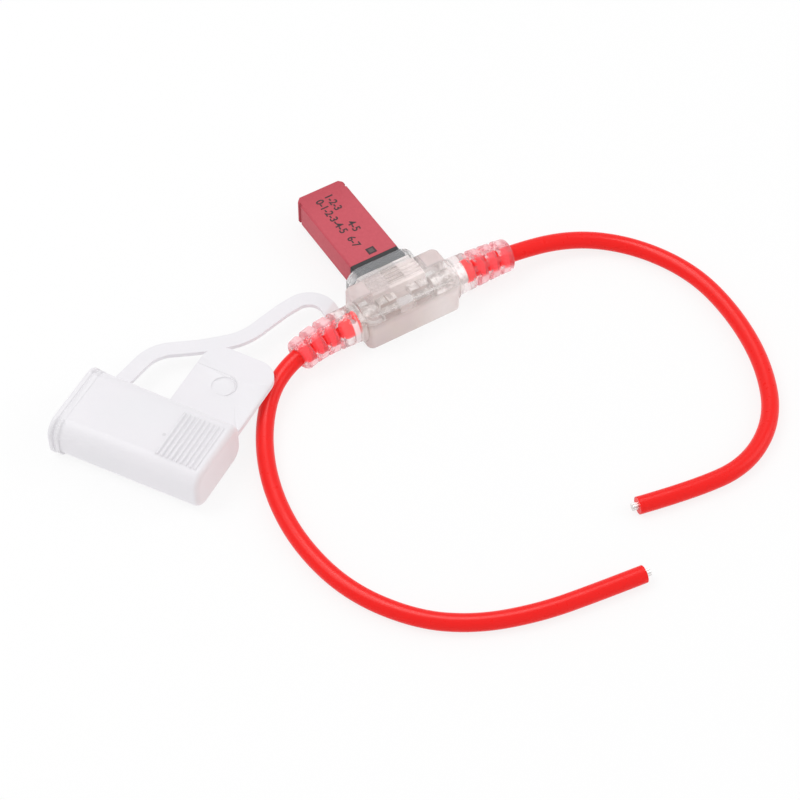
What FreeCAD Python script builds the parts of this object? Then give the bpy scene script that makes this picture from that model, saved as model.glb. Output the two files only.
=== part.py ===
import FreeCAD, Part
import os
from math import cos, pi, radians, sin, tan

V = FreeCAD.Vector

# Inline holder for a plug-in breaker, lying on a flat surface. X runs along the two leads,
# +Y is the way the breaker is pulled out, +Z is up. The origin is on the surface, under the
# point where the line of the leads crosses the middle line of the breaker. Millimetres.

# Leads
lead_d = 3.9
strand_d = 0.62
strand_ring_r = 0.57
bare_length = 1.3
crimped_core_d = 2.7
core_gap = 0.1

# Block and collar of the clear overmould
axis_z = 5.05
block_left = -11.6
block_right = 12.3
block_front_y = -5.3
block_back_y = 6.3
block_corner_r = 1.6
block_edge_r = 0.8
collar_width = 16.9
collar_height = 8.5
collar_corner_r = 3.4
collar_length = 4.2
collar_edge_r = 0.5

# Strain reliefs: neck, then slots between rings, then the end ring
neck_d = 9.0
relief_end_d = 7.5
left_neck_length = 5.5
right_neck_length = 4.8
slot_width = 1.55
slot_count = 3
web_thickness = 1.1
web_inset = 0.35
left_slot_pitch = 3.45
left_end_ring = 2.1
right_slot_pitch = 3.1
right_end_ring = 2.65
end_ring_edge_r = 0.9
segment_overlap = 0.15
flare_length = 0.6
flare_d = 9.8
left_jacket_start = 11.7
right_jacket_start = 15.9
core_pin_d = 1.4
core_pin_x = -13.9
core_pin_depth = 2.2
core_pin_angles = (-8.0, 30.0)

# Plug-in breaker
blade_width = 2.8
blade_thickness = 0.8
blade_spacing = 8.1
blade_length = 7.1
blade_tip = 0.5
base_inset = 0.05
base_height = 3.9
base_depth = 2.2
base_plug = 1.4
plug_fit = 0.1
cover_width = 12.3
cover_thickness = 6.5
cover_length = 24.2
cover_draft = 0.05
cover_side_wall = 0.8
cover_face_wall = 0.85
cover_end_wall = 1.2
cover_edge_r = 0.45
cover_end_chamfer = 1.0
head_length = 1.5
head_groove = 0.9
head_groove_depth = 0.4

# Breaker's inside
stem_width = 1.8
stem_wall_gap = 0.65
crossbar_height = 2.6
crossbar_gap = 1.2
contact_d = 2.4
contact_thickness = 0.35
contact_gap = 0.03
arm_width = 3.4
arm_thickness = 0.2
arm_foot = 2.6
arm_past_contact = 1.5
arm_step = 1.0
arm_wall_gap = 0.6
rivet_d = 1.3
rivet_fit = 0.1
rivet_head_d = 2.2
rivet_head = 0.25
rivet_head_clearance = 0.18
contact_pad_length = 4.2

# Sockets inside the overmould
pocket_fit = 0.15
insert_width = 13.4
insert_thickness = 7.2
insert_bottom_y = 1.4
insert_lid = 0.8
insert_rib_count = 6
insert_rib_pitch = 0.95
insert_rib_width = 0.45
insert_rib_height = 0.3
blade_slot_fit = 0.15
sheet = 0.35
receptacle_width = 4.6
receptacle_height = 2.3
receptacle_back_y = -0.6
receptacle_fit = 0.05
blade_floor_gap = 0.05
receptacle_mouth_gap = 0.15
seam = 0.3
barrel_d = 3.5
barrel_start = 7.2
left_barrel_end = 11.5
right_barrel_end = 15.7
spring_width = 2.4
spring_thickness = 0.2
spring_blade_gap = 0.05
spring_start = 1.2
spring_length = 4.6

# Cap, in its own length s from the mouth to the closed end, and u across towards the tab
cap_x = -67.13
cap_y = -4.55
cap_turn = -58.94
cap_length = 35.9
mouth_width = 20.4
mouth_height = 10.5
cap_front_width = 19.8
cap_front_offset = 0.17
cap_front_height = 10.1
cap_back_width = 18.5
cap_back_offset = 0.35
cap_back_height = 10.9
cap_corner_r = 3.6
cap_end_r = 1.4
cap_wall = 0.95
cap_end_wall = 1.3
cap_fit = 0.15
bead_length = 1.1
bead_groove = 0.5
grip_rib_count = 9
grip_rib_pitch = 1.15
grip_rib_width = 0.5
grip_rib_height = 0.3
grip_rib_length = 12.2
grip_from_end = 2.0
tab_z = 6.4
tab_from_end = 0.45
tab_width = 17.4
tab_reach = 28.8
tab_thickness = 1.3
tab_corner_r = 5.0
button_d = 5.2
button_recess = 0.35
button_s = 8.4
button_u = 18.9
witness_u = 22.2
witness_r = 3.1
witness_width = 0.25
witness_depth = 0.12

# Strap: its route at its own height, from the left neck to the cap's side. The last points count from the cap.
strap_z = 4.6
strap_width = 3.6
strap_thickness = 1.0
strap_route = [
    (-15.0, 5.0), (-14.6, 12.9), (-24.0, 11.7), (-35.3, 9.0), (cap_x + 22.83, cap_y + 16.45),
    (cap_x + 13.23, cap_y + 20.95), (cap_x + 1.13, cap_y + 15.95),
]
strap_radii = [5.0, 22.0, 14.0, 30.0, 9.0]
lug_width = 4.0
lug_height = 2.4
lug_y = 4.8

# Routes of the leads' centre lines, from the stripped end to the cut end
left_route = [
    (-left_jacket_start, 0, axis_z), (-22.5, 0, axis_z), (-34.9, -3.5, 3.45), (-43.7, -13.5, lead_d / 2),
    (-49.9, -27.4, lead_d / 2), (-52.2, -43.0, lead_d / 2), (-49.7, -59.1, lead_d / 2),
    (-41.6, -72.4, lead_d / 2), (-31.5, -79.9, lead_d / 2), (-19.0, -84.2, lead_d / 2),
    (-6.5, -86.1, lead_d / 2), (4.4, -87.4, lead_d / 2),
]
right_route = [
    (right_jacket_start, 0, axis_z), (27.5, -0.4, axis_z), (43.4, -2.7, 3.4), (55.0, -11.0, lead_d / 2),
    (61.7, -24.8, lead_d / 2), (62.2, -40.0, lead_d / 2), (58.9, -55.3, lead_d / 2),
    (51.7, -68.4, lead_d / 2), (39.4, -75.8, lead_d / 2), (25.6, -75.0, lead_d / 2),
    (13.3, -72.3, lead_d / 2),
]

base_width = cover_width - 2 * base_inset
base_thickness = cover_thickness - 2 * base_inset
hollow_width = cover_width - 2 * cover_side_wall - 2 * cover_draft
hollow_thickness = cover_thickness - 2 * cover_face_wall
stem_x = hollow_width / 2 - stem_wall_gap - stem_width / 2
arm_offset_x = hollow_width / 2 - arm_wall_gap - arm_width / 2
rim_y = block_back_y + collar_length
base_bottom_y = rim_y - base_depth
base_top_y = base_bottom_y + base_height
cover_end_y = base_top_y + cover_length
floor_y = base_bottom_y - pocket_fit
receptacle_floor_z = axis_z - blade_thickness / 2 - blade_floor_gap - sheet
receptacle_z = receptacle_floor_z + receptacle_height / 2
cover_inside_end = cover_end_y - cover_end_wall - head_groove_depth
crossbar_y = cover_inside_end - crossbar_gap - crossbar_height
stem_bottom_y = base_bottom_y + base_height / 2
stem_top_y = base_top_y + base_plug
contact_y = stem_top_y + contact_pad_length / 2


def box(x0, x1, y0, y1, z0, z1):
    """Block between two corners."""
    return Part.makeBox(x1 - x0, y1 - y0, z1 - z0, V(x0, y0, z0))


def bar(width, thickness, y0, y1, x=0.0, z=axis_z):
    """Block along Y, centred on x and z."""
    return box(x - width / 2, x + width / 2, y0, y1, z - thickness / 2, z + thickness / 2)


def fuse(shapes):
    """One clean solid from overlapping ones."""
    whole = shapes[0].multiFuse(shapes[1:]) if len(shapes) > 1 else shapes[0]
    return whole.removeSplitter()


def edges_where(shape, test):
    """The edges of a shape whose two ends and middle pass a test."""
    found = []
    for edge in shape.Edges:
        ends = [v.Point for v in edge.Vertexes]
        middle = edge.valueAt((edge.FirstParameter + edge.LastParameter) / 2)
        if all(test(p) for p in ends + [middle]):
            found.append(edge)
    return found


def along(shape, axis):
    """The straight edges of a shape that run along one axis."""
    found = []
    for edge in shape.Edges:
        if isinstance(edge.Curve, Part.Line) and abs(abs(edge.tangentAt(edge.FirstParameter).dot(axis)) - 1) < 1e-3:
            found.append(edge)
    return found


def rounded_section(width, height, radius, place):
    """Rounded rectangle as a closed wire. place turns its (across, up) into a point."""
    w, h = width / 2 - radius, height / 2 - radius
    k = radius * cos(pi / 4)
    edges = []
    corners = [(w, h, 1, 1), (-w, h, -1, 1), (-w, -h, -1, -1), (w, -h, 1, -1)]
    for i, (cx, cy, sx, sy) in enumerate(corners):
        first = (cx + radius * sx, cy) if sx * sy > 0 else (cx, cy + radius * sy)
        last = (cx, cy + radius * sy) if sx * sy > 0 else (cx + radius * sx, cy)
        edges.append(Part.Arc(place(*first), place(cx + k * sx, cy + k * sy), place(*last)).toShape())
        nx, ny, tx, ty = corners[(i + 1) % 4]
        start = (nx + radius * tx, ny) if tx * ty > 0 else (nx, ny + radius * ty)
        edges.append(Part.LineSegment(place(*last), place(*start)).toShape())
    return Part.Wire(edges)


def rounded_bar(width, height, radius, y0, y1, end_width=None, end_height=None):
    """Bar of rounded section along Y, optionally drawn in towards y1."""
    near = rounded_section(width, height, radius, lambda a, b: V(a, y0, axis_z + b))
    far = rounded_section(end_width or width, end_height or height, radius, lambda a, b: V(a, y1, axis_z + b))
    return Part.makeLoft([near, far], True, True)


def rod(start, direction, length, diameter):
    """Round rod from a point along a direction."""
    return Part.makeCylinder(diameter / 2, length, start, direction)


def strands(start, direction, length, diameter, ring_r):
    """Seven strands, one in the middle of six, joined where they press together."""
    across = direction.cross(V(0, 0, 1)).normalize()
    up = direction.cross(across).normalize()
    rods = [rod(start, direction, length, diameter)]
    for k in range(6):
        turn = radians(60 * k)
        offset = across * (ring_r * cos(turn)) + up * (ring_r * sin(turn))
        rods.append(rod(start + offset, direction, length, diameter))
    return fuse(rods)


def bent_path(points, radii=None):
    """Straight runs joined by tangent arcs. Without radii each arc is as large as its runs allow."""
    points = [V(*p) for p in points]
    edges = []
    reached = points[0]
    used = []
    for i in range(1, len(points) - 1):
        back = (points[i - 1] - points[i])
        ahead = (points[i + 1] - points[i])
        shorter = min(back.Length, ahead.Length)
        back.normalize()
        ahead.normalize()
        half_turn = (pi - back.getAngle(ahead)) / 2
        radius = radii[i - 1] if radii else 0.45 * shorter / tan(half_turn)
        reach = radius * tan(half_turn)
        begin = points[i] + back * reach
        end = points[i] + ahead * reach
        inward = (back + ahead).normalize()
        middle = points[i] + inward * (radius / cos(half_turn) - radius)
        edges.append(Part.LineSegment(reached, begin).toShape())
        edges.append(Part.Arc(begin, middle, end).toShape())
        reached = end
        used.append(radius)
    edges.append(Part.LineSegment(reached, points[-1]).toShape())
    return Part.Wire(edges), used


def at_distance(path, distance):
    """Point and direction on a path, at a distance from its start."""
    for edge in path.Edges[:-1]:
        if distance < edge.Length:
            where = edge.getParameterByLength(distance)
            return edge.valueAt(where), edge.tangentAt(where)
        distance -= edge.Length
    last = path.Edges[-1]
    direction = last.tangentAt(last.FirstParameter)
    return last.valueAt(last.FirstParameter) + direction * distance, direction


def lead(route):
    """Jacketed lead swept along its route."""
    path, radii = bent_path(route)
    start, direction = at_distance(path, 0)
    circle = Part.Wire(Part.makeCircle(lead_d / 2, start, direction))
    tube = path.makePipeShell([circle], True, False)
    print("lead radii", [round(r, 1) for r in radii], "length", round(path.Length, 1),
          "volume ratio", round(tube.Volume / (pi * lead_d ** 2 / 4 * path.Length), 4))
    return tube, path


def strand_tip(path):
    """Bare strands that stand out of the lead's cut end."""
    end, direction = at_distance(path, path.Length)
    return strands(end, direction, bare_length, strand_d, strand_ring_r)


def relief(path, side, block_end, jacket_start, neck_length, pitch, end_ring):
    """Neck, webbed slots, rings and end ring, threaded on the lead's path."""
    total = neck_length + (slot_count - 1) * pitch + slot_width + end_ring
    slope = (neck_d - relief_end_d) / 2 / total

    def radius_at(length):
        return neck_d / 2 - slope * length

    def disc(start, length, shrink=0.0):
        """Slice of the taper, square to the path at its middle."""
        point, direction = at_distance(path, block_end + start + length / 2 - jacket_start)
        base = point - direction * (length / 2 + segment_overlap)
        return Part.makeCone(radius_at(start) - shrink, radius_at(start + length) - shrink,
                             length + 2 * segment_overlap, base, direction)

    def webs(start):
        """Four webs on the diagonals of one slot."""
        point, direction = at_distance(path, block_end + start + slot_width / 2 - jacket_start)
        reach = radius_at(start)
        width = slot_width + 4 * segment_overlap
        plates = []
        for turn in (45, 135):
            plate = Part.makeBox(width, web_thickness, 2 * reach, V(-width / 2, -web_thickness / 2, -reach))
            plate.rotate(V(0, 0, 0), V(1, 0, 0), turn)
            plates.append(plate)
        cross = fuse(plates)
        cross.Placement = FreeCAD.Placement(point, FreeCAD.Rotation(V(1, 0, 0), direction)).multiply(cross.Placement)
        return cross.common(disc(start, slot_width, web_inset))

    outward = V(side, 0, 0)
    neck = Part.makeCone(neck_d / 2, radius_at(neck_length), neck_length + block_corner_r,
                         V(side * (block_end - block_corner_r), 0, axis_z), outward)
    flare = Part.makeCone(flare_d / 2, neck_d / 2, flare_length, V(side * block_end, 0, axis_z), outward)
    pieces = [neck, flare]
    for k in range(slot_count):
        slot = neck_length + k * pitch
        pieces.append(webs(slot))
        last = k == slot_count - 1
        ring = disc(slot + slot_width, end_ring if last else pitch - slot_width)
        if last:
            far = max(ring.Faces, key=lambda f: f.CenterOfMass.x * side if isinstance(f.Surface, Part.Plane) else -1e9)
            ring = ring.makeFillet(end_ring_edge_r, far.Edges)
        pieces.append(ring)
    return fuse(pieces)


def block():
    """Clear block with its collar, rounded at the edges."""
    solid = box(block_left, block_right, block_front_y, block_back_y, 0, 2 * axis_z)
    solid = solid.makeFillet(block_corner_r, along(solid, V(0, 0, 1)))
    rims = edges_where(solid, lambda p: abs(p.z) < 1e-6 or abs(p.z - 2 * axis_z) < 1e-6)
    solid = solid.makeFillet(block_edge_r, rims)
    collar = rounded_bar(collar_width, collar_height, collar_corner_r, block_back_y - block_corner_r, rim_y)
    rim = edges_where(collar, lambda p: abs(p.y - rim_y) < 1e-6)
    collar = collar.makeFillet(collar_edge_r, rim)
    return fuse([solid, collar])


def holder_body(left_path, right_path, fillings):
    """Overmould: block, collar, both reliefs and the strap's lug, formed round what it holds."""
    left = relief(left_path, -1, -block_left, left_jacket_start, left_neck_length, left_slot_pitch, left_end_ring)
    right = relief(right_path, 1, block_right, right_jacket_start, right_neck_length, right_slot_pitch, right_end_ring)
    strap_x = strap_route[0][0]
    lug = box(strap_x - lug_width / 2, strap_x + lug_width / 2, 0, lug_y,
              strap_z - lug_height / 2, strap_z + lug_height / 2)
    lug = lug.makeFillet(0.5, along(lug, V(0, 1, 0)))
    solid = fuse([block(), left, right, lug])
    pocket = bar(base_width + 2 * pocket_fit, base_thickness + 2 * pocket_fit, floor_y, rim_y + 1)
    pins = []
    for angle in core_pin_angles:
        outward = V(0, -sin(radians(angle)), cos(radians(angle)))
        foot = V(core_pin_x, 0, axis_z) + outward * (neck_d / 2 - core_pin_depth)
        pins.append(rod(foot, outward, core_pin_depth + 1, core_pin_d))
    return solid.cut(fillings + [pocket] + pins).removeSplitter()


def receptacle_box(fit=0.0):
    """Outside of one terminal's box, before it is moved to its blade. The blade lies on its floor."""
    return bar(receptacle_width + 2 * fit, receptacle_height + 2 * fit, receptacle_back_y,
               floor_y - insert_lid - receptacle_mouth_gap + fit, z=receptacle_z)


def terminal(side, barrel_end):
    """Folded sheet box for the blade, with a flag that turns to the crimp barrel."""
    x = side * blade_spacing / 2
    outer = receptacle_box()
    inner = bar(receptacle_width - 2 * sheet, receptacle_height - 2 * sheet, receptacle_back_y - 1, rim_y,
                z=receptacle_z)
    slit = box(-seam / 2, seam / 2, receptacle_back_y - 1, rim_y, receptacle_z, receptacle_z + receptacle_height)
    folded = outer.cut([inner, slit])
    folded.translate(V(x, 0, 0))
    floor_z = receptacle_floor_z
    reach = (side * (blade_spacing / 2 - receptacle_width / 2), side * (barrel_start + sheet))
    flag = box(min(reach), max(reach), -barrel_d / 2 + sheet, barrel_d / 2 - sheet, floor_z, floor_z + sheet)
    heel_reach = (side * (barrel_start - 2 * sheet), side * (barrel_start + sheet))
    heel = box(min(heel_reach), max(heel_reach), -barrel_d / 2 + 2 * sheet, barrel_d / 2 - 2 * sheet,
               axis_z - barrel_d / 2 + sheet / 3, floor_z + sheet)
    arm = fuse([flag, heel])
    outward = V(side, 0, 0)
    barrel = rod(V(side * barrel_start, 0, axis_z), outward, barrel_end - barrel_start, barrel_d)
    bore = rod(V(side * (barrel_start - 2 * sheet), 0, axis_z), outward, barrel_end, barrel_d - 2 * sheet)
    return fuse([folded, fuse([arm, barrel]).cut(bore)])


def core(side, jacket_start):
    """Stripped strands gripped in the crimp barrel, up to the jacket."""
    start = V(side * (barrel_start + sheet + core_gap), 0, axis_z)
    length = jacket_start - barrel_start - sheet - 2 * core_gap
    return strands(start, V(side, 0, 0), length, crimped_core_d / 2.8, crimped_core_d / 3.1)


def contact_spring(side):
    """Bowed leaf in the terminal's box that presses on the blade."""
    top = receptacle_z + receptacle_height / 2 - sheet
    low = axis_z + blade_thickness / 2 + spring_blade_gap + spring_thickness
    y0, y1 = spring_start, spring_start + spring_length
    middle = (y0 + y1) / 2
    upper = Part.Arc(V(0, y0, top), V(0, middle, low), V(0, y1, top)).toShape()
    lower = Part.Arc(V(0, y1, top - spring_thickness), V(0, middle, low - spring_thickness),
                     V(0, y0, top - spring_thickness)).toShape()
    ends = [Part.LineSegment(V(0, y1, top), V(0, y1, top - spring_thickness)).toShape(),
            Part.LineSegment(V(0, y0, top - spring_thickness), V(0, y0, top)).toShape()]
    face = Part.Face(Part.Wire([upper, ends[0], lower, ends[1]]))
    leaf = face.extrude(V(spring_width, 0, 0))
    leaf.translate(V(side * blade_spacing / 2 - spring_width / 2, 0, 0))
    return leaf


def insert_envelope():
    """Outside of the ridged carrier, filled."""
    solid = bar(insert_width, insert_thickness, insert_bottom_y, floor_y)
    ribs = []
    for k in range(insert_rib_count):
        y = floor_y - insert_lid - insert_rib_width - k * insert_rib_pitch
        ribs.append(bar(insert_width, insert_thickness + 2 * insert_rib_height, y, y + insert_rib_width))
    return fuse([solid] + ribs)


def socket_insert():
    """Carrier that holds both terminal boxes under the pocket."""
    cuts = []
    for side in (-1, 1):
        x = side * blade_spacing / 2
        chamber = receptacle_box(receptacle_fit)
        chamber.translate(V(x, 0, 0))
        slot = bar(blade_width + 2 * blade_slot_fit, blade_thickness + 2 * blade_slot_fit,
                   floor_y - insert_lid - 1, floor_y + 1, x)
        cuts += [chamber, slot]
    return insert_envelope().cut(cuts).removeSplitter()


def breaker_cover():
    """Drafted hollow cover with a grooved head."""
    solid = Part.makeLoft([
        rounded_section(cover_width, cover_thickness, cover_edge_r, lambda a, b: V(a, base_top_y, axis_z + b)),
        rounded_section(cover_width - 2 * cover_draft, cover_thickness - cover_draft, cover_edge_r,
                        lambda a, b: V(a, cover_end_y, axis_z + b))], True, True)
    half = cover_width / 2 - cover_draft
    for side in (-1, 1):
        corners = [V(side * half + dx, cover_end_y + dy, -1)
                   for dx, dy in ((-side * cover_end_chamfer, 0), (side, 0), (side, -cover_end_chamfer - 1))]
        wedge = Part.Face(Part.makePolygon(corners + corners[:1])).extrude(V(0, 0, 2 * axis_z + 2))
        edge_x = side * (half - head_groove_depth)
        groove = box(min(edge_x, edge_x + side * 2), max(edge_x, edge_x + side * 2),
                     cover_end_y - head_length - head_groove, cover_end_y - head_length, -1, 2 * axis_z + 1)
        solid = solid.cut([wedge, groove])
    hollow = bar(hollow_width, hollow_thickness, base_top_y - 1, cover_inside_end)
    return solid.cut(hollow).removeSplitter()


def breaker_base():
    """Black header that the blades pass through, with a plug that locates the cover."""
    foot = bar(base_width, base_thickness, base_bottom_y, base_top_y)
    foot = foot.makeFillet(0.4, along(foot, V(0, 1, 0)))
    plug = bar(hollow_width - 2 * plug_fit, hollow_thickness - 2 * plug_fit,
               base_top_y - 0.5, base_top_y + base_plug)
    solid = fuse([foot, plug])
    return solid.cut([plug_blade(side) for side in (-1, 1)]).removeSplitter()


def plug_blade(side):
    """Blade below the base, with a tapered tip, and its stem through the base."""
    x = side * blade_spacing / 2
    tip_y = base_bottom_y - blade_length
    w, t = blade_width / 2, blade_thickness / 2
    outline = [(x - w + blade_tip, tip_y), (x + w - blade_tip, tip_y), (x + w, tip_y + 2 * blade_tip),
               (x + w, stem_bottom_y), (x - w, stem_bottom_y), (x - w, tip_y + 2 * blade_tip)]
    corners = [V(px, py, axis_z - t) for px, py in outline + outline[:1]]
    blade = Part.Face(Part.makePolygon(corners)).extrude(V(0, 0, blade_thickness))
    return fuse([blade, bar(stem_width, blade_thickness, stem_bottom_y - 1, stem_top_y, side * stem_x)])


def left_blade():
    """Blade whose riser and crossbar carry the bimetal arm."""
    riser = bar(stem_width, blade_thickness, stem_top_y - 1, crossbar_y + crossbar_height, -stem_x)
    crossbar = box(-stem_x - stem_width / 2, arm_offset_x + arm_width / 2, crossbar_y,
                   crossbar_y + crossbar_height, axis_z - blade_thickness / 2, axis_z + blade_thickness / 2)
    hole = rod(V(arm_offset_x, crossbar_y + crossbar_height / 2, 0), V(0, 0, 1), 2 * axis_z, rivet_d)
    return fuse([plug_blade(-1), riser, crossbar]).cut(hole)


def right_blade():
    """Blade whose inner pad carries the fixed contact."""
    pad = bar(arm_width, blade_thickness, stem_top_y, stem_top_y + contact_pad_length, arm_offset_x)
    return fuse([plug_blade(1), pad])


def fixed_contact():
    """Silver button on the right blade's pad."""
    return rod(V(arm_offset_x, contact_y, axis_z + blade_thickness / 2), V(0, 0, 1), contact_thickness, contact_d)


def moving_contact():
    """Silver button under the bimetal arm's free end."""
    z = axis_z + blade_thickness / 2 + contact_thickness + contact_gap
    return rod(V(arm_offset_x, contact_y, z), V(0, 0, 1), contact_thickness, contact_d)


def bimetal_arm():
    """Strip with a stepped foot on the crossbar and a free end over the fixed contact."""
    low = axis_z + blade_thickness / 2
    high = low + 2 * contact_thickness + contact_gap
    foot_end = crossbar_y + crossbar_height
    foot_start = foot_end - arm_foot
    free_end = contact_y - arm_past_contact
    t = arm_thickness
    profile = [(foot_end, low), (foot_start, low), (foot_start - arm_step, high), (free_end, high),
               (free_end, high + t), (foot_start - arm_step, high + t), (foot_start, low + t), (foot_end, low + t)]
    corners = [V(0, py, pz) for py, pz in profile + profile[:1]]
    strip = Part.Face(Part.makePolygon(corners)).extrude(V(arm_width, 0, 0))
    strip.translate(V(arm_offset_x - arm_width / 2, 0, 0))
    hole = rod(V(arm_offset_x, crossbar_y + crossbar_height / 2, 0), V(0, 0, 1), 2 * axis_z, rivet_d + 2 * rivet_fit)
    return strip.cut(hole)


def arm_rivet():
    """Rivet that holds the arm's foot on the crossbar, loose enough for the arm to tilt."""
    y = crossbar_y + crossbar_height / 2
    low = axis_z - blade_thickness / 2
    high = axis_z + blade_thickness / 2 + arm_thickness + rivet_head_clearance
    shank = rod(V(arm_offset_x, y, low), V(0, 0, 1), high - low, rivet_d)
    heads = [rod(V(arm_offset_x, y, low - rivet_head), V(0, 0, 1), rivet_head, rivet_head_d),
             rod(V(arm_offset_x, y, high), V(0, 0, 1), rivet_head, rivet_head_d)]
    return fuse([shank] + heads)


def cap_section(s, width, height, radius, middle, offset=0.0):
    """Rounded section of the cap at s, about its own middle height."""
    return rounded_section(width, height, radius, lambda a, b: V(s, offset + a, middle + b))


def to_cap_place(shape):
    """Turn and move a shape from the cap's own directions to where the cap lies."""
    shape.rotate(V(0, 0, 0), V(0, 0, 1), cap_turn)
    shape.translate(V(cap_x, cap_y, 0))
    return shape


def cap_hood():
    """Hood with beaded mouth, rounded end, grip ribs and its hollow."""
    mouth, closed = -cap_length / 2, cap_length / 2
    bead_end = mouth + bead_length
    neck_end = bead_end + bead_groove
    second_end = neck_end + bead_length
    front_middle = mouth_height / 2
    back_middle = cap_back_height / 2
    bead = Part.makeLoft([cap_section(mouth, mouth_width, mouth_height, cap_corner_r, front_middle),
                          cap_section(bead_end, mouth_width, mouth_height, cap_corner_r, front_middle)], True, True)
    bead = bead.makeFillet(0.4, edges_where(bead, lambda p: abs(p.x - mouth) < 1e-6))
    second = Part.makeLoft([
        cap_section(neck_end, mouth_width - 0.2, mouth_height - 0.1, cap_corner_r, front_middle),
        cap_section(second_end, mouth_width - 0.2, mouth_height - 0.1, cap_corner_r, front_middle)], True, True)
    body = Part.makeLoft([
        cap_section(mouth + 0.3, cap_front_width, cap_front_height, cap_corner_r, front_middle, cap_front_offset),
        cap_section(closed, cap_back_width, cap_back_height, cap_corner_r, back_middle, cap_back_offset)], True, True)
    body = body.makeFillet(cap_end_r, edges_where(body, lambda p: abs(p.x - closed) < 1e-6))
    inside_r = cap_corner_r - cap_wall + cap_fit
    hollow = Part.makeLoft([
        cap_section(mouth - 0.5, collar_width + 2 * cap_fit, collar_height + 2 * cap_fit, inside_r, front_middle),
        cap_section(closed - cap_end_wall, cap_back_width - 2 * cap_wall, cap_back_height - 2 * cap_wall, inside_r,
                    back_middle, cap_back_offset)], True, True)
    ribs = []
    for k in range(grip_rib_count):
        s = closed - grip_from_end - k * grip_rib_pitch
        ribs.append(box(s - grip_rib_width / 2, s + grip_rib_width / 2, -grip_rib_length / 2, grip_rib_length / 2,
                        cap_back_height - cap_wall * 0.9, cap_back_height + grip_rib_height))
    solid = fuse([bead, second, body] + ribs)
    return solid, hollow


def cap_tab():
    """Finger tab beside the closed end, with a blind round button."""
    closed = cap_length / 2
    s1 = closed - tab_from_end
    tab = box(s1 - tab_width, s1, 0, tab_reach, tab_z - tab_thickness / 2, tab_z + tab_thickness / 2)
    tab = tab.makeFillet(tab_corner_r, [e for e in along(tab, V(0, 0, 1)) if e.CenterOfMass.y > 1])
    recesses = [rod(V(button_s, button_u, tab_z + side * (tab_thickness / 2 - button_recess)), V(0, 0, side),
                    button_recess + 1, button_d) for side in (-1, 1)]
    turn_u = witness_u - witness_r
    floor_z = tab_z + tab_thickness / 2 - witness_depth
    line = box(s1 - tab_width - 1, button_s, witness_u - witness_width, witness_u, floor_z, floor_z + 1)
    turn = [Part.makeCylinder(r, 1, V(button_s, turn_u, floor_z), V(0, 0, 1), 150)
            for r in (witness_r, witness_r - witness_width)]
    for sector in turn:
        sector.rotate(V(button_s, turn_u, 0), V(0, 0, 1), -60)
    witness = fuse([line, turn[0].cut(turn[1])])
    return tab.cut(recesses + [witness])


def strap():
    """Flat strap that curves from the neck to the cap's side."""
    path, _ = bent_path([(x, y, strap_z) for x, y in strap_route], strap_radii)
    start, direction = at_distance(path, 0)
    across = direction.cross(V(0, 0, 1))
    w, t = strap_width / 2, strap_thickness / 2
    corners = [start + across * a + V(0, 0, b) for a, b in ((w, t), (-w, t), (-w, -t), (w, -t), (w, t))]
    return path.makePipeShell([Part.makePolygon(corners)], True, False)


def cap():
    """Hood, tab and strap as one moulding."""
    hood, hollow = cap_hood()
    hood = to_cap_place(hood)
    hollow = to_cap_place(hollow)
    return fuse([hood, to_cap_place(cap_tab()), strap()]).cut(hollow).removeSplitter()


def build():
    """All pieces by name."""
    left_lead, left_path = lead(left_route)
    right_lead, right_path = lead(right_route)
    left_core = core(-1, left_jacket_start)
    right_core = core(1, right_jacket_start)
    left_terminal = terminal(-1, left_barrel_end)
    right_terminal = terminal(1, right_barrel_end)
    fillings = [left_lead, right_lead, insert_envelope()]
    for side, end in ((-1, left_jacket_start), (1, right_jacket_start)):
        chamber = receptacle_box()
        chamber.translate(V(side * blade_spacing / 2, 0, 0))
        fillings.append(chamber)
        fillings.append(rod(V(side * barrel_start, 0, axis_z), V(side, 0, 0), end - barrel_start, barrel_d))
    fillings += [left_terminal.copy(), right_terminal.copy()]
    return {
        "holder_body": holder_body(left_path, right_path, fillings),
        "socket_insert": socket_insert(),
        "left_terminal": left_terminal,
        "right_terminal": right_terminal,
        "left_spring": contact_spring(-1),
        "right_spring": contact_spring(1),
        "left_core": left_core,
        "right_core": right_core,
        "left_lead": left_lead,
        "right_lead": right_lead,
        "left_strand_tip": strand_tip(left_path),
        "right_strand_tip": strand_tip(right_path),
        "cap": cap(),
        "breaker_cover": breaker_cover(),
        "breaker_base": breaker_base(),
        "left_blade": left_blade(),
        "right_blade": right_blade(),
        "bimetal_arm": bimetal_arm(),
        "arm_rivet": arm_rivet(),
        "moving_contact": moving_contact(),
        "fixed_contact": fixed_contact(),
    }


os.makedirs("parts", exist_ok=True)
for name, shape in build().items():
    bounds = shape.BoundBox
    print(name, "solids", len(shape.Solids), "valid", shape.isValid(), "volume", round(shape.Volume, 2),
          "x", round(bounds.XMin, 2), round(bounds.XMax, 2), "y", round(bounds.YMin, 2), round(bounds.YMax, 2),
          "z", round(bounds.ZMin, 2), round(bounds.ZMax, 2))
    shape.exportStep("parts/" + name + ".step")
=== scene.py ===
import bmesh
import bpy
import numpy as np
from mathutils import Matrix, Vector
from mathutils.bvhtree import BVHTree


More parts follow.
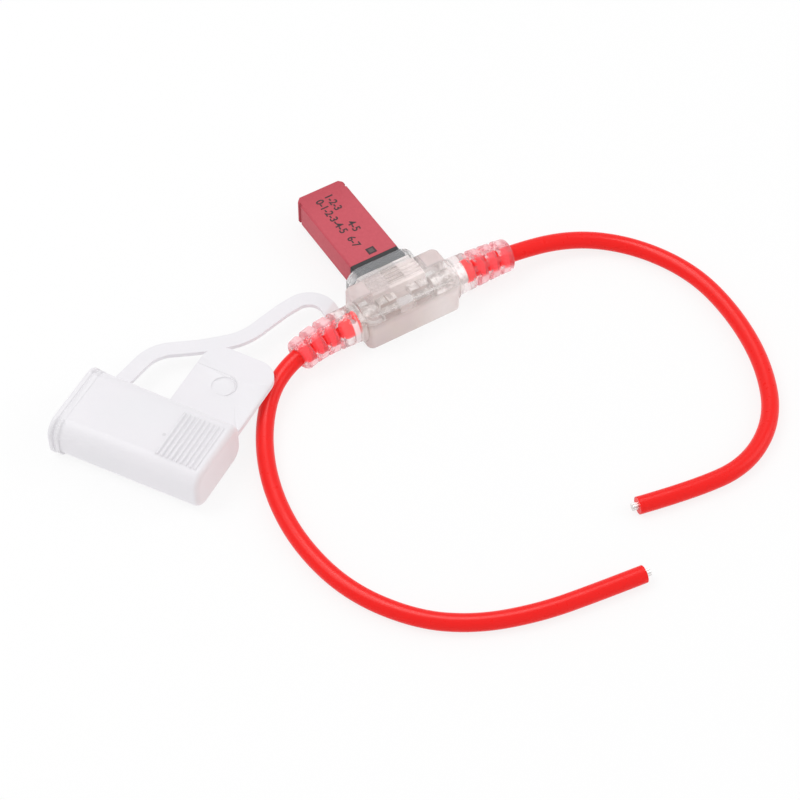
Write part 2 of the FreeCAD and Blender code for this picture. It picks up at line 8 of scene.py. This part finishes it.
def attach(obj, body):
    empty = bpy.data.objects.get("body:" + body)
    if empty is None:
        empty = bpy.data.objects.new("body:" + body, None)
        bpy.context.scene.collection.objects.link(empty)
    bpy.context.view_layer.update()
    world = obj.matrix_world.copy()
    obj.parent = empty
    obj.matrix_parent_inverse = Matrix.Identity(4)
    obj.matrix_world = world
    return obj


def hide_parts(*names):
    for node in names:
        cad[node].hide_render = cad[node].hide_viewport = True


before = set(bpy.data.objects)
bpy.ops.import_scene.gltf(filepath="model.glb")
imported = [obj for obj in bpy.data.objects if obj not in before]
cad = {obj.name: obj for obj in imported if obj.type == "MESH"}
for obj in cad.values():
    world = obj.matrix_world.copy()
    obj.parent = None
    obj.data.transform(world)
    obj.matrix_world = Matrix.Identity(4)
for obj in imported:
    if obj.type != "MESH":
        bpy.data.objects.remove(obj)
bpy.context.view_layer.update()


# Floor, light and camera
# The holder lies on a plain white table, seen from above its front left. Two soft lamps light it, and a
# third one overhead shows only as the sheen along the leads and on the clear plastic.

class Wire:
    """A shader socket. Sums, differences, products and quotients of wires and numbers add Math nodes."""

    def __init__(self, finish, socket):
        self.finish = finish
        self.socket = socket

    def math(self, operation, first, second=0.0):
        return self.finish.node("ShaderNodeMath", {"operation": operation}, {0: first, 1: second})

    def __add__(self, other):
        return self.math("ADD", self, other)

    def __sub__(self, other):
        return self.math("SUBTRACT", self, other)

    def __rsub__(self, other):
        return self.math("SUBTRACT", other, self)

    def __mul__(self, other):
        return self.math("MULTIPLY", self, other)

    def __truediv__(self, other):
        return self.math("DIVIDE", self, other)

    def __neg__(self):
        return self.math("SUBTRACT", 0.0, self)

    def __abs__(self):
        return self.math("ABSOLUTE", self)

    def sine(self):
        return self.math("SINE", self)

    def fraction(self):
        return self.math("FRACT", self)

    def above(self, level):
        return self.math("GREATER_THAN", self, level)

    def largest(self, other):
        return self.math("MAXIMUM", self, other)

    __radd__ = __add__
    __rmul__ = __mul__


class Finish:
    """One material, made of nodes. node() adds a node and gives back one of its outputs as a Wire."""

    def __init__(self, name, world=None):
        self.material = world or bpy.data.materials.new(name)
        self.material.use_nodes = True
        self.tree = self.material.node_tree
        self.tree.nodes.clear()

    def fill(self, socket, value):
        """Links a wire to a socket, or writes a number, a vector or a colour of three parts in it."""
        if isinstance(value, Wire):
            self.tree.links.new(value.socket, socket)
        elif socket.type == "RGBA":
            socket.default_value = (*value, 1)
        else:
            socket.default_value = value

    def node(self, kind, settings=None, inputs=None, output=0):
        made = self.tree.nodes.new(kind)
        for key, value in (settings or {}).items():
            setattr(made, key, value)
        for key, value in (inputs or {}).items():
            self.fill(made.inputs[key], value)
        return Wire(self, made.outputs[output])

    def place(self):
        """Object coordinates, in metres."""
        return self.node("ShaderNodeTexCoord", output="Object")

    def axis(self, letter):
        """One of the Object coordinates."""
        return self.node("ShaderNodeSeparateXYZ", None, {0: self.place()}, letter)

    def noise(self, waves, detail=2.0, roughness=0.5):
        """Noise from 0 to 1, so many waves to the metre."""
        inputs = {"Vector": self.place(), "Scale": waves, "Detail": detail, "Roughness": roughness}
        return self.node("ShaderNodeTexNoise", None, inputs)

    def mix(self, share, first, second):
        """Colour between two colours."""
        return self.node("ShaderNodeMix", {"data_type": "RGBA"}, {0: share, 6: first, 7: second}, 2)

    def rise(self, value, start, width):
        """Smooth step from 0 to 1 as the value goes from the start over the width."""
        step = {"Value": (value - start) / width}
        return self.node("ShaderNodeMapRange", {"interpolation_type": "SMOOTHSTEP"}, step)

    def bump(self, height, distance):
        """Normal bent by a height that runs from 0 to 1 over a distance in metres."""
        return self.node("ShaderNodeBump", None, {"Height": height, "Distance": distance, "Strength": 1.0})

    def principled(self, **inputs):
        """Principled shader. Underscores stand for spaces."""
        named = {key.replace("_", " "): value for key, value in inputs.items()}
        return self.node("ShaderNodeBsdfPrincipled", None, named)

    def blend(self, share, first, second):
        """Shader between two shaders."""
        return self.node("ShaderNodeMixShader", None, {0: share, 1: first, 2: second})

    def out(self, shader):
        """Wires a shader to the output of the material or the world."""
        of_world = isinstance(self.material, bpy.types.World)
        end = self.tree.nodes.new("ShaderNodeOutputWorld" if of_world else "ShaderNodeOutputMaterial")
        self.tree.links.new(shader.socket, end.inputs["Surface"])

    def surface(self, **inputs):
        """Principled surface, wired to the output."""
        self.out(self.principled(**inputs))


def seen_directly(finish):
    """1 for rays from the camera, and for those that a gloss or a clear plastic sends on."""
    rays = [finish.node("ShaderNodeLightPath", output=name)
            for name in ("Is Camera Ray", "Is Glossy Ray", "Is Transmission Ray")]
    return rays[0].largest(rays[1]).largest(rays[2])


white = (1.0, 1.0, 1.0)
unlit = (0.0, 0.0, 0.0)
ambient = 0.8
world = bpy.data.worlds.new("studio")
bpy.context.scene.world = world
studio = Finish("studio", world)
daylight = seen_directly(studio) * (1 - ambient) + ambient
studio.out(studio.node("ShaderNodeBackground", None, {"Color": white, "Strength": daylight}))

square_corners = ((-1, -1), (1, -1), (1, 1), (-1, 1))
floor_half = 3.0
floor_white = (0.9, 0.9, 0.9)
floor_shine = 0.82
floor_mesh = bpy.data.meshes.new("floor")
floor_mesh.from_pydata([(x * floor_half, y * floor_half, 0) for x, y in square_corners], [], [(0, 1, 2, 3)])
floor = bpy.data.objects.new("floor", floor_mesh)
bpy.context.scene.collection.objects.link(floor)
paper = Finish("white_table")
lit = paper.node("ShaderNodeBsdfDiffuse", None, {"Color": floor_white})
shining = paper.node("ShaderNodeEmission", None, {"Color": white, "Strength": 1.0})
paper.out(paper.blend(seen_directly(paper) * floor_shine, lit, shining))
floor_mesh.materials.append(paper.material)

lamp_aim = Vector((-0.01, -0.02, 0))


def lamp(name, place, size, radiance):
    """Square lamp turned to the middle of the holder. Watts are radiance times pi times area."""
    light = bpy.data.lights.new(name, "AREA")
    light.size = size
    light.energy = radiance * np.pi * size ** 2
    obj = bpy.data.objects.new(name, light)
    obj.location = place
    obj.rotation_euler = (lamp_aim - Vector(place)).to_track_quat("-Z", "Y").to_euler()
    bpy.context.scene.collection.objects.link(obj)
    return obj


lamp("key_lamp", (-0.35, 0.25, 0.75), size=0.45, radiance=3.2)
lamp("fill_lamp", (0.65, -0.35, 0.45), size=0.5, radiance=1.6)
sheen_lamp = lamp("sheen_lamp", (0.06, 0.19, 0.77), size=0.45, radiance=6.0)
sheen_lamp.visible_diffuse = False
sheen_lamp.visible_transmission = False

camera_height_angle = np.radians(50.842)
camera_side_angle = np.radians(31.709)
camera_distance = 0.57875
camera_target = np.array((-0.01326, -0.0204, 0.0))
level = np.cos(camera_height_angle)
ahead = np.array((np.sin(camera_side_angle) * level, np.cos(camera_side_angle) * level,
                  -np.sin(camera_height_angle)))
camera_data = bpy.data.cameras.new("camera")
camera_data.sensor_width = 36
camera_data.lens = 119.7
camera_data.clip_start = 0.01
camera = bpy.data.objects.new("camera", camera_data)
camera.location = camera_target - ahead * camera_distance
camera.rotation_euler = Vector(ahead).to_track_quat("-Z", "Y").to_euler()
bpy.context.scene.collection.objects.link(camera)
bpy.context.scene.camera = camera
bpy.context.scene.view_settings.view_transform = "Standard"


# Leads
# Two lengths of stranded copper in a bright red vinyl jacket, laid in two loose arcs. Each starts in the
# clear overmould and ends in a square cut with its strands standing out.

lead_diameter = 0.0039
lead_rest = lead_diameter / 2
lead_height = 0.00505
left_route = [
    (-0.0117, 0, lead_height), (-0.0225, 0, lead_height), (-0.0349, -0.0035, 0.00345),
    (-0.0437, -0.0135, lead_rest), (-0.0499, -0.0274, lead_rest), (-0.0522, -0.0430, lead_rest),
    (-0.0497, -0.0591, lead_rest), (-0.0416, -0.0724, lead_rest), (-0.0315, -0.0799, lead_rest),
    (-0.0190, -0.0842, lead_rest), (-0.0065, -0.0861, lead_rest), (0.0044, -0.0874, lead_rest),
]
right_route = [
    (0.0159, 0, lead_height), (0.0275, -0.0004, lead_height), (0.0434, -0.0027, 0.0034),
    (0.0550, -0.0110, lead_rest), (0.0617, -0.0248, lead_rest), (0.0622, -0.0400, lead_rest),
    (0.0589, -0.0553, lead_rest), (0.0517, -0.0684, lead_rest), (0.0394, -0.0758, lead_rest),
    (0.0256, -0.0750, lead_rest), (0.0133, -0.0723, lead_rest),
]

jacket = Finish("red_jacket")
jacket_x = jacket.axis("X")
jacket_y = jacket.axis("Y")
first_slot = 0.0171
slot_width = 0.00155
left_slot_pitch = 0.00345
right_slot_pitch = 0.0031
relief_end = 0.0265


def in_slots(outward, pitch):
    """1 where the relief's slots leave the lead bare, by the distance outward from the holder's middle."""
    phase = ((outward - first_slot) / pitch).fraction()
    return (1 - phase.above(slot_width / pitch)) * outward.above(first_slot)


# In the reliefs the jacket gets a painted glow (emission) in place of the light that reaches it through
# the clear plastic, much weaker where a slot leaves it bare.
bare = in_slots(-jacket_x, left_slot_pitch) + in_slots(jacket_x, right_slot_pitch)
bare_dimming = 0.8
held = 1 - jacket.rise(abs(jacket_x), start=relief_end, width=0.001)
relief_painted_glow = held * jacket.rise(jacket_y, start=-0.007, width=0.002) * (1 - bare * bare_dimming)
mottle = jacket.noise(900, detail=3)
jacket.surface(Base_Color=jacket.mix(mottle * 0.5, (0.89, 0.011, 0.009), (0.81, 0.008, 0.007)),
               Emission_Color=jacket.mix(relief_painted_glow, unlit, (0.43, 0.012, 0.016)), Emission_Strength=1.0,
               Roughness=0.24 + mottle * 0.1, Specular_IOR_Level=0.2,
               Normal=jacket.bump(jacket.noise(2600), distance=0.000005))


def free_lead(name, node, route):
    """Round cord on one smooth spline whose control points are the route."""
    curve = bpy.data.curves.new(name, "CURVE")
    curve.dimensions = "3D"
    curve.bevel_depth = lead_diameter / 2
    curve.bevel_resolution = 10
    curve.resolution_u = 24
    curve.use_fill_caps = True
    spline = curve.splines.new("NURBS")
    spline.points.add(len(route) - 1)
    for point, place in zip(spline.points, route):
        point.co = (*place, 1)
    spline.order_u = 3
    spline.use_endpoint_u = True
    lead = bpy.data.objects.new(name, curve)
    bpy.context.scene.collection.objects.link(lead)
    curve.materials.append(jacket.material)
    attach(lead, "holder")
    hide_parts(node)


free_lead("left_lead_jacket", "left_lead", left_route)
free_lead("right_lead_jacket", "right_lead", right_route)


# Strands
# Tinned copper strands: the stripped cores that the crimps grip inside the plastic, and the short ends
# that stand out where the leads are cut.

tinned_copper = Finish("tinned_copper")
wisp = tinned_copper.noise(3000)
tinned_copper.surface(Base_Color=tinned_copper.mix(wisp, (0.86, 0.85, 0.84), (0.62, 0.60, 0.58)),
                      Metallic=0.85, Roughness=0.28 + wisp * 0.2,
                      Normal=tinned_copper.bump(wisp, distance=0.00003))


def dress(node, finish):
    """Gives a CAD piece its material."""
    slots = cad[node].data.materials
    slots.clear()
    slots.append(finish.material)


for node in ("left_core", "right_core", "left_strand_tip", "right_strand_tip"):
    dress(node, tinned_copper)


# Clear overmould
# Soft clear vinyl moulded in one shot round the carrier, the crimps and the ends of the leads. It has a
# faint warm tint, and its reliefs are slotted so that they bend with the leads.

merge_distance = 1e-7
crease_angle = np.radians(32.0)


def smooth_copy(node, name, finish):
    """Copy of a CAD piece with its loose triangles merged and its rounded faces shaded smooth."""
    mesh = cad[node].data.copy()
    mesh.name = name
    work = bmesh.new()
    work.from_mesh(mesh)
    bmesh.ops.remove_doubles(work, verts=work.verts, dist=merge_distance)
    work.to_mesh(mesh)
    work.free()
    mesh.shade_smooth()
    mesh.set_sharp_from_angle(angle=crease_angle)
    mesh.materials.clear()
    mesh.materials.append(finish.material)
    piece = bpy.data.objects.new(name, mesh)
    bpy.context.scene.collection.objects.link(piece)
    even = piece.modifiers.new("even_normals", "WEIGHTED_NORMAL")
    even.keep_sharp = True
    return piece


inner_nodes = ("left_lead", "right_lead", "socket_insert", "left_terminal", "right_terminal")
contact_tolerance = 0.00003
bond_depth = 0.00005


def bond(piece):
    """Moves the walls that the plastic shares with what it is moulded round a little into that piece.

    v' = v + d * n for the vertices within the tolerance of an inner piece, n pointing out of the plastic.
    The two faces then don't fall on each other, and the plastic grips the piece with no air between.
    """
    inner = [BVHTree.FromPolygons([v.co for v in cad[name].data.vertices],
                                  [tuple(p.vertices) for p in cad[name].data.polygons])
             for name in inner_nodes]
    for vertex in piece.data.vertices:
        if any(tree.find_nearest(vertex.co, contact_tolerance)[0] is not None for tree in inner):
            vertex.co = vertex.co + vertex.normal * bond_depth


speck_core = 0.6
speck_edge = 0.8


def speck(finish, place, radius):
    """1 within a small round spot. It falls to 0 over the edge, both shares of the radius."""
    ends = {0: finish.place(), 1: place}
    away = finish.node("ShaderNodeVectorMath", {"operation": "DISTANCE"}, ends, "Value")
    return 1 - finish.rise(away, start=radius * speck_core, width=radius * speck_edge)


clear_vinyl = Finish("clear_vinyl")
vinyl_x = clear_vinyl.axis("X")
vinyl_y = clear_vinyl.axis("Y")
vinyl_z = clear_vinyl.axis("Z")
in_relief = clear_vinyl.rise(abs(vinyl_x), start=0.0122, width=0.002)
in_collar = clear_vinyl.rise(vinyl_y, start=0.0058, width=0.0015)

# The block is milky in front and clears towards its top, but for the two corners beside the carrier.
block_middle = 0.0003
front_haze = 0.66
top_clearing = 0.5
corner_share = 0.85
cloudiness = 0.1
on_top = clear_vinyl.rise(vinyl_z, start=0.0058, width=0.0039)
beside_carrier = clear_vinyl.rise(abs(vinyl_x - block_middle), start=0.0068, width=0.0008)
behind_crimps = clear_vinyl.rise(vinyl_y, start=0.0012, width=0.0012)
cleared = on_top * (1 - beside_carrier * behind_crimps * corner_share) * top_clearing
block_haze = front_haze - cleared + clear_vinyl.noise(300, detail=3) * cloudiness

# The rings of the reliefs are milkier than the necks, and both are more so beside the lead than over it.
# A bend leaves the straight line by the square of the distance past its start.
bends_middle = 0.0021
bend_start = 0.0138
bend_rate = 5.5
turn_fall = 0.5
side_y = 0.822
side_z = 0.57
past_bend = abs(vinyl_x - bends_middle) - bend_start
turn = past_bend * past_bend * bend_rate
off_axis = abs((vinyl_y + turn) * side_y + (vinyl_z - lead_height + turn * turn_fall) * side_z)
beside_lead = clear_vinyl.rise(off_axis, start=0.0021, width=0.0009)
ringed = clear_vinyl.rise(abs(vinyl_x), start=0.0160, width=0.0015)
neck_haze = 0.1
ring_haze = 0.1
neck_side_haze = 0.15
ring_side_haze = 0.2
relief_haze = neck_haze + ringed * ring_haze + beside_lead * (neck_side_haze + ringed * ring_side_haze)

# The core pins' holes in the left neck have pale floors, and the front of the neck a pale band by them.
pin_x = -0.0139
pin_spot = 0.0011
band_share = 0.85
rear_floor = speck(clear_vinyl, (pin_x, 0.00032, 0.00733), pin_spot)
front_floor = speck(clear_vinyl, (pin_x, -0.00115, 0.00704), pin_spot)
in_band = 1 - clear_vinyl.rise(abs(vinyl_x - pin_x), start=0.0005, width=0.0004)
neck_front = clear_vinyl.rise(-vinyl_y, start=0.0014, width=0.0005)
pin_marks = rear_floor.largest(front_floor).largest(in_band * neck_front * band_share)

collar_haze = 0.14
pin_haze = 0.9
body_haze = block_haze * (1 - in_relief) * (1 - in_collar) + in_relief * relief_haze
haze = (body_haze + in_collar * collar_haze).largest(pin_marks * pin_haze)

rightward = clear_vinyl.rise(vinyl_x, start=-0.003, width=0.012)
warmth = clear_vinyl.rise(clear_vinyl.noise(140), start=0.35, width=1 / 3)
left_tint = clear_vinyl.mix(warmth, (0.72, 0.585, 0.57), (0.72, 0.60, 0.55))
front_tint = clear_vinyl.mix(rightward, left_tint, (0.92, 0.83, 0.81))
block_tint = clear_vinyl.mix(behind_crimps * on_top, front_tint, (0.79, 0.66, 0.65))
collar_tint = (0.72, 0.75, 0.78)
neck_tint = (0.80, 0.66, 0.66)
# The rings' milky part is painted red over the lead and pink beside it: painted light of the red lead
# carried through the clear plastic.
ring_painted_lead_light = clear_vinyl.mix(beside_lead, (0.90, 0.20, 0.25), (0.95, 0.46, 0.50))
relief_tint_and_lead_light = clear_vinyl.mix(ringed, neck_tint, ring_painted_lead_light)
body_tint = clear_vinyl.mix(in_relief, clear_vinyl.mix(in_collar, block_tint, collar_tint), relief_tint_and_lead_light)
pin_tint = (0.90, 0.89, 0.90)
ripple = clear_vinyl.bump(clear_vinyl.noise(260), distance=0.00003)
clear = clear_vinyl.principled(Base_Color=(1.0, 0.985, 0.98), Roughness=0.12, IOR=1.33,
                               Transmission_Weight=1.0, Normal=ripple)
# In the reliefs the milky part has a faint pink painted glow of its own (emission).
milky = clear_vinyl.principled(Base_Color=clear_vinyl.mix(pin_marks, body_tint, pin_tint), Roughness=0.2,
                               Emission_Color=clear_vinyl.mix(in_relief, unlit, (0.12, 0.07, 0.075)),
                               Emission_Strength=1.0, Specular_IOR_Level=0.4, Normal=ripple)
clear_vinyl.out(clear_vinyl.blend(haze, clear, milky))
overmould = smooth_copy("holder_body", "clear_overmould", clear_vinyl)
bond(overmould)
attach(overmould, "holder")
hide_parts("holder_body")


# Carrier
# Block of rigid clear plastic that holds the two terminals while the overmould is shot round it. Its
# ridges are finer in the middle, with painted shade between them, and it is crackled on the left, with
# painted glints and painted dark specks there. It has a faint painted glow of its own.

clear_rigid = Finish("clear_rigid")
carrier_x = clear_rigid.axis("X")
carrier_y = clear_rigid.axis("Y")
carrier_middle = 0.0002
rib_pitch = 0.00095
rib_start = 0.0067
middle_rib_shade = 0.75
side_rib_loss = 0.33
crackled_rib_loss = 0.6
crackle_level = 0.35
crackle_depth = 0.9
streak_level = 0.55
streak_depth = 0.7
ribbed = clear_rigid.rise(carrier_y, start=0.0022, width=0.0004)
off_middle = clear_rigid.rise(abs(carrier_x - carrier_middle), start=0.0019, width=0.0003)
rib_turn = (carrier_y - rib_start) * (2 * np.pi / rib_pitch) * (2 - off_middle)
rib_wave = rib_turn.sine() * 0.5 + 0.5
crackled = clear_rigid.rise(-carrier_x, start=0.0019, width=0.0004)
crackle = clear_rigid.rise(clear_rigid.noise(2300, detail=3, roughness=0.7), start=0.42, width=0.2)
streaks = clear_rigid.noise(700, detail=3)
# Between the ridges the carrier is painted darker: painted shade in the grooves, strongest in the middle.
between_ribs = ribbed * (1 - rib_wave) * (1 - crackled * crackled_rib_loss)
painted_rib_shade = between_ribs * (middle_rib_shade - off_middle * side_rib_loss)
# On the left the crackle is painted as bright glints and dark specks.
crackle_glints_and_shade = crackled * ribbed * (crackle_level - crackle) * crackle_depth
# The share of darker colour: painted shade between the ridges, painted glints and specks on the left, and
# random streaks.
dark = painted_rib_shade + crackle_glints_and_shade + (streaks - streak_level) * streak_depth
# The carrier has a faint painted glow of its own (emission), stronger off its middle.
clear_rigid.surface(Base_Color=clear_rigid.mix(dark, (1.0, 0.965, 0.95), (0.34, 0.31, 0.30)),
                    Emission_Color=clear_rigid.mix(off_middle, (0.10, 0.08, 0.075), (0.16, 0.135, 0.135)),
                    Emission_Strength=1.0, Roughness=0.12,
                    Normal=clear_rigid.bump(crackle * crackled + streaks + between_ribs, distance=0.00025))
dress("socket_insert", clear_rigid)


# Terminals and springs
# Folded tinned brass boxes with their crimp barrels, and the bowed steel leaves that press on the blades.
# The breaker's blades and rivet are made of the same tinned brass.

tinned_brass = Finish("tinned_brass")
# Blotches of the tin are painted lighter and darker: partly worn tin, partly painted glints and shade.
wear_and_glints = tinned_brass.rise(tinned_brass.noise(1000, detail=3, roughness=0.65), start=0.36, width=1 / 3.5)
# The brass has a faint painted glow of its own (emission), and a strong painted highlight on the top of the
# right crimp barrel.
in_right_barrel = tinned_brass.rise(tinned_brass.axis("X"), start=0.0121, width=0.0006)
painted_barrel_highlight = in_right_barrel * tinned_brass.rise(tinned_brass.axis("Z"), start=0.0052, width=0.0012)
tinned_brass.surface(Base_Color=tinned_brass.mix(wear_and_glints, (0.56, 0.54, 0.53), (0.97, 0.96, 0.95)),
                     Emission_Color=tinned_brass.mix(painted_barrel_highlight, (0.08, 0.075, 0.072), (0.34, 0.34, 0.345)),
                     Emission_Strength=1.0, Metallic=0.8, Roughness=0.3,
                     Normal=tinned_brass.bump(wear_and_glints, distance=0.00012))
for node in ("left_terminal", "right_terminal", "left_blade", "right_blade", "arm_rivet"):
    dress(node, tinned_brass)

spring_steel = Finish("spring_steel")
scale = spring_steel.noise(1500)
spring_steel.surface(Base_Color=spring_steel.mix(scale, (0.58, 0.58, 0.59), (0.70, 0.69, 0.68)),
                     Metallic=0.95, Roughness=0.28, Normal=spring_steel.bump(scale, distance=0.00002))
for node in ("left_spring", "right_spring"):
    dress(node, spring_steel)


# Cap
# Frosted soft plastic, moulded in one piece with its finger tab and the strap that ties it to the left
# relief. It has a faint painted glow of its own, its closed end is painted a little darker and pinker as
# painted shade and painted red bounce light from the lead, and it has two small grey specks.

frosted = Finish("frosted_plastic")
cap_middle = (-0.06713, -0.00455)
cap_direction = (0.516, -0.857)
painted_bounce_share = 0.8
speck_radius = 0.00042
speck_share = 0.45
milkiness = 0.8
milk_cloudiness = 0.1
from_middle_x = frosted.axis("X") - cap_middle[0]
from_middle_y = frosted.axis("Y") - cap_middle[1]
along_cap = from_middle_x * cap_direction[0] + from_middle_y * cap_direction[1]
# The closed end is painted darker and pinker: painted shade and painted red bounce light from the lead.
closed_end = frosted.rise(along_cap, start=0.0168, width=0.001) * painted_bounce_share
top_speck = speck(frosted, (-0.06491, -0.00971, 0.0108), speck_radius)
side_speck = speck(frosted, (-0.07880, -0.00550, 0.0085), speck_radius)
specks = top_speck.largest(side_speck) * speck_share
cloud = frosted.noise(70)
satin = frosted.bump(frosted.noise(1800), distance=0.00002)
lilac = frosted.mix(cloud, (0.52, 0.52, 0.53), (0.53, 0.515, 0.535))
milk_with_painted_bounce = frosted.mix(closed_end, lilac, (0.50, 0.44, 0.45))
# The milk has a painted glow of its own (emission) that evens out its shade, in place of light scattered
# through the thin walls.
glow = frosted.mix(cloud, (0.29, 0.29, 0.30), (0.30, 0.285, 0.30))
glow_with_painted_bounce = frosted.mix(closed_end, glow, (0.28, 0.255, 0.255))
veil = frosted.principled(Base_Color=(1.0, 0.995, 1.0), Roughness=0.3, IOR=1.12, Transmission_Weight=1.0,
                          Normal=satin)
milk = frosted.principled(Base_Color=milk_with_painted_bounce, Roughness=0.4, Specular_IOR_Level=0.3,
                          Emission_Color=frosted.mix(specks, glow_with_painted_bounce, unlit), Emission_Strength=1.0,
                          Normal=satin)
frosted.out(frosted.blend(milkiness + cloud * milk_cloudiness, veil, milk))
cap = smooth_copy("cap", "frosted_cap", frosted)
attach(cap, "cap")
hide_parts("cap")


# Breaker
# Crimson moulded cover over a black header, plugged into the overmould's pocket. The cover's top carries
# dark numbers in two rows and a dark square.

crimson = Finish("crimson_plastic")
grain = crimson.noise(1500, detail=3)
far_end = crimson.rise(crimson.axis("Y"), start=0.026, width=0.012)
grain_depth = 0.7
far_end_depth = 0.5
deepening = grain * grain_depth + far_end * far_end_depth
crimson.surface(Base_Color=crimson.mix(deepening, (0.57, 0.08, 0.108), (0.46, 0.055, 0.078)),
                Roughness=0.42 + grain * 0.1, Specular_IOR_Level=0.25,
                Normal=crimson.bump(grain, distance=0.00003))
cover = smooth_copy("breaker_cover", "crimson_cover", crimson)
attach(cover, "breaker")
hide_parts("breaker_cover")

ink = Finish("dark_ink")
ink.surface(Base_Color=(0.04, 0.018, 0.022), Roughness=0.5, Specular_IOR_Level=0.3)
faded = Finish("faded_ink")
faded.surface(Base_Color=(0.075, 0.035, 0.035), Roughness=0.45)
cover_top = 0.0083
print_lift = 0.00003
print_height = cover_top + print_lift
number_size = 0.0027
number_boldness = 0.00005
number_squeeze = 0.94


def printed(name, text, place):
    """Plain counting numbers as a flat mesh on the cover's top, read towards the leads.

    (x, y) of the flat text goes to (place x + y, place y - squeeze * x, print height).
    """
    curve = bpy.data.curves.new(name, "FONT")
    curve.body = text
    curve.size = number_size
    curve.offset = number_boldness
    curve.resolution_u = 3
    curve.align_y = "CENTER"
    letters = bpy.data.objects.new(name + "_text", curve)
    bpy.context.scene.collection.objects.link(letters)
    bpy.context.view_layer.update()
    mesh = bpy.data.meshes.new_from_object(letters.evaluated_get(bpy.context.evaluated_depsgraph_get()))
    bpy.data.objects.remove(letters)
    flat = np.empty(3 * len(mesh.vertices))
    mesh.vertices.foreach_get("co", flat)
    x, y, z = flat.reshape(-1, 3).T
    turned = np.column_stack((place[0] + y, place[1] - x * number_squeeze, np.full_like(z, print_height)))
    mesh.vertices.foreach_set("co", turned.ravel())
    mesh.materials.clear()
    mesh.materials.append(ink.material)
    marks = bpy.data.objects.new(name, mesh)
    bpy.context.scene.collection.objects.link(marks)
    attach(marks, "breaker")


printed("numbers_far_right", "1-2-3", (0.0007, 0.0339))
printed("numbers_near_right", "4-5", (0.0009, 0.0241))
printed("numbers_far_left", "0-1-2-3-4-5", (-0.0019, 0.0334))
printed("numbers_near_left", "6-7", (-0.0016, 0.0200))

window_outer = (0.0021, 0.0019)
window_inner = (0.0012, 0.0011)
window_middle = (0.0004, 0.0140)
corners = [(sx * w / 2 + window_middle[0], sy * h / 2 + window_middle[1], print_height)
           for w, h in (window_outer, window_inner) for sx, sy in square_corners]
rim = [(k, (k + 1) % 4, (k + 1) % 4 + 4, k + 4) for k in range(4)]
pane = (4, 5, 6, 7)
window_mesh = bpy.data.meshes.new("dark_window")
window_mesh.from_pydata(corners, [], rim + [pane])
window_mesh.materials.append(ink.material)
window_mesh.materials.append(faded.material)
window_mesh.polygons[len(rim)].material_index = 1
window = bpy.data.objects.new("dark_window", window_mesh)
bpy.context.scene.collection.objects.link(window)
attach(window, "breaker")

black = Finish("black_plastic")
dust = black.noise(1400, detail=3)
black.surface(Base_Color=black.mix(dust, (0.012, 0.011, 0.012), (0.022, 0.021, 0.023)), Roughness=0.45,
              Specular_IOR_Level=0.3, Normal=black.bump(dust, distance=0.00003))
dress("breaker_base", black)


# Bimetal and contacts
# Inside the cover, a rolled bimetal strip is riveted to the left blade, and its free end carries a silver
# button over the one that is fixed on the right blade.

bimetal = Finish("bimetal")
roll = bimetal.noise(1200)
bimetal.surface(Base_Color=bimetal.mix(roll, (0.62, 0.50, 0.40), (0.52, 0.42, 0.34)), Metallic=0.95,
                Roughness=0.32, Normal=bimetal.bump(roll, distance=0.00002))
dress("bimetal_arm", bimetal)

silver = Finish("silver")
polish = silver.noise(2500)
silver.surface(Base_Color=silver.mix(polish, (0.90, 0.90, 0.89), (0.80, 0.80, 0.79)), Metallic=1.0,
               Roughness=0.22, Normal=silver.bump(polish, distance=0.00001))
for node in ("moving_contact", "fixed_contact"):
    dress(node, silver)


# Update
# The view layer is brought up to date.

bpy.context.view_layer.update()
